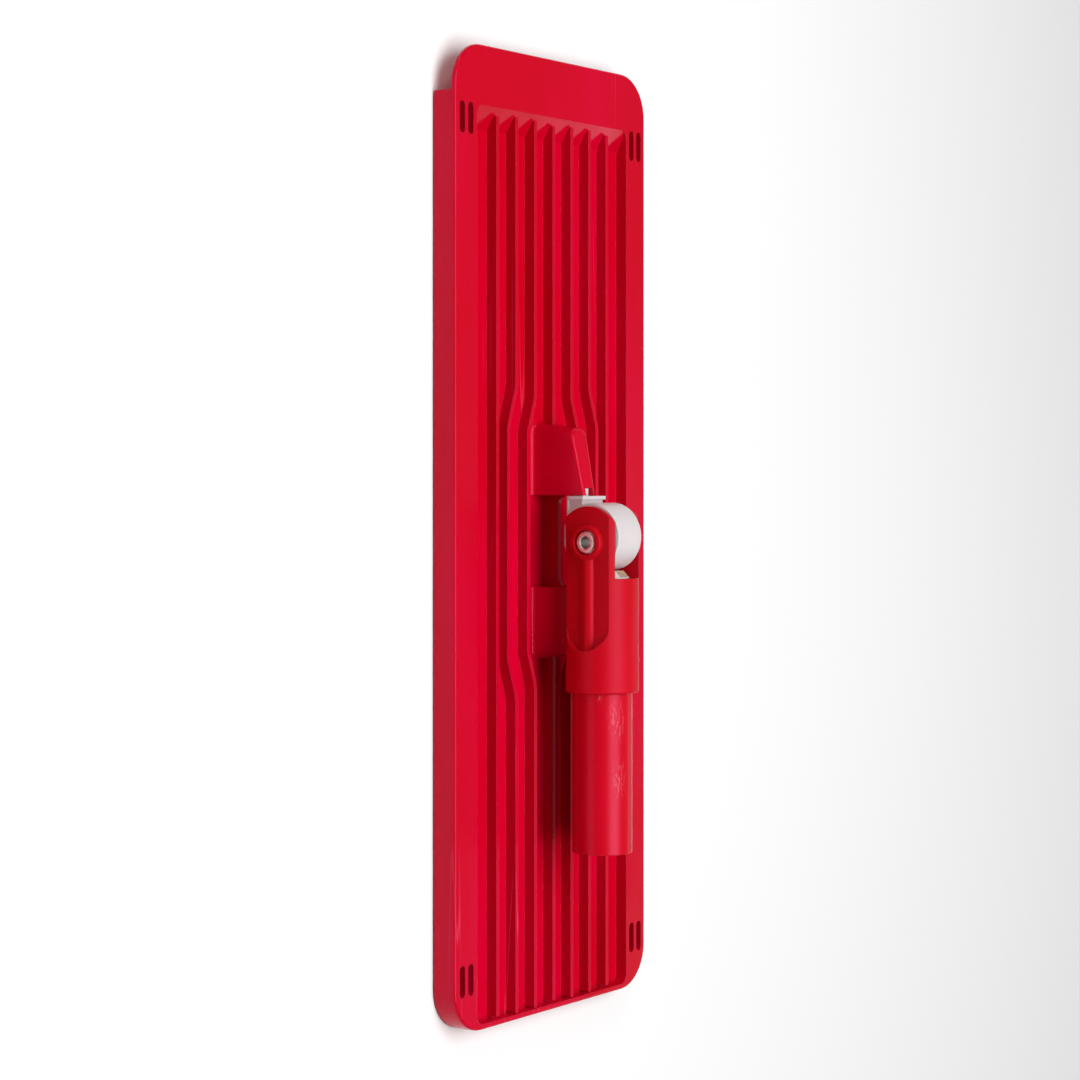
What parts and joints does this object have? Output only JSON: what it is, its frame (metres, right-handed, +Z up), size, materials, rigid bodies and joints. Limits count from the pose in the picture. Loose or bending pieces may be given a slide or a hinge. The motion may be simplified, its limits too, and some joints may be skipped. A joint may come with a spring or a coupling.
{
  "type": "flat mop frame",
  "caption": "Red moulded flat mop frame with hook strips, a two-way swivel joint with a friction brake, and a short socket for a pushed-in handle.",
  "frame": {"origin": "on the floor, at the middle of the plate's length and width; the floor touches the faces of the hook strips", "axes": "+X along the plate's length towards the handle as it lies folded, +Y across the plate, +Z up away from the floor"},
  "size_m": [0.4, 0.14, 0.0505],
  "materials": {
    "red_gloss": "glossy moulded, light scuffs",
    "red_matte": "fine matte moulded texture",
    "red_satin": "satin, rubbed",
    "white_nylon": "smooth, slightly waxy",
    "plated_steel": "bright plated",
    "spring_steel": "drawn wire",
    "friction_tan": "dull fibre-filled",
    "hook_tape": "woven tape with hooks"
  },
  "bodies": {
    "base": {"base_plate": "red_gloss", "hook_strip_front": "hook_tape", "hook_strip_middle": "hook_tape", "hook_strip_back": "hook_tape"},
    "swivel": {"swivel_block": "white_nylon"},
    "yoke": {"yoke": "red_matte", "tubular_rivet": "plated_steel", "rivet_washers": "plated_steel", "handle_sleeve": "red_satin", "brake_spring": "spring_steel"},
    "plunger": {"brake_plunger": "white_nylon", "friction_shoe": "friction_tan"}
  },
  "joints": [
    {"name": "side_swivel", "type": "hinge", "parent": "base", "child": "swivel", "pos_m": [0.0027, 0, 0.0247], "axis": [1, 0, 0], "range_deg": [-40, 40]},
    {"name": "handle_tilt", "type": "hinge", "parent": "swivel", "child": "yoke", "pos_m": [0.0027, 0, 0.0353], "axis": [0, -1, 0], "range_deg": [0, 110]},
    {"name": "plunger_slide", "type": "slide", "parent": "yoke", "child": "plunger", "axis": [1, 0, 0], "range_m": [0, 0.0031], "deforming": ["brake_spring"]}
  ],
  "couplings": [
    {"joint": "plunger_slide", "follows": "handle_tilt", "m_per_rad": 0.0015626}
  ]
}
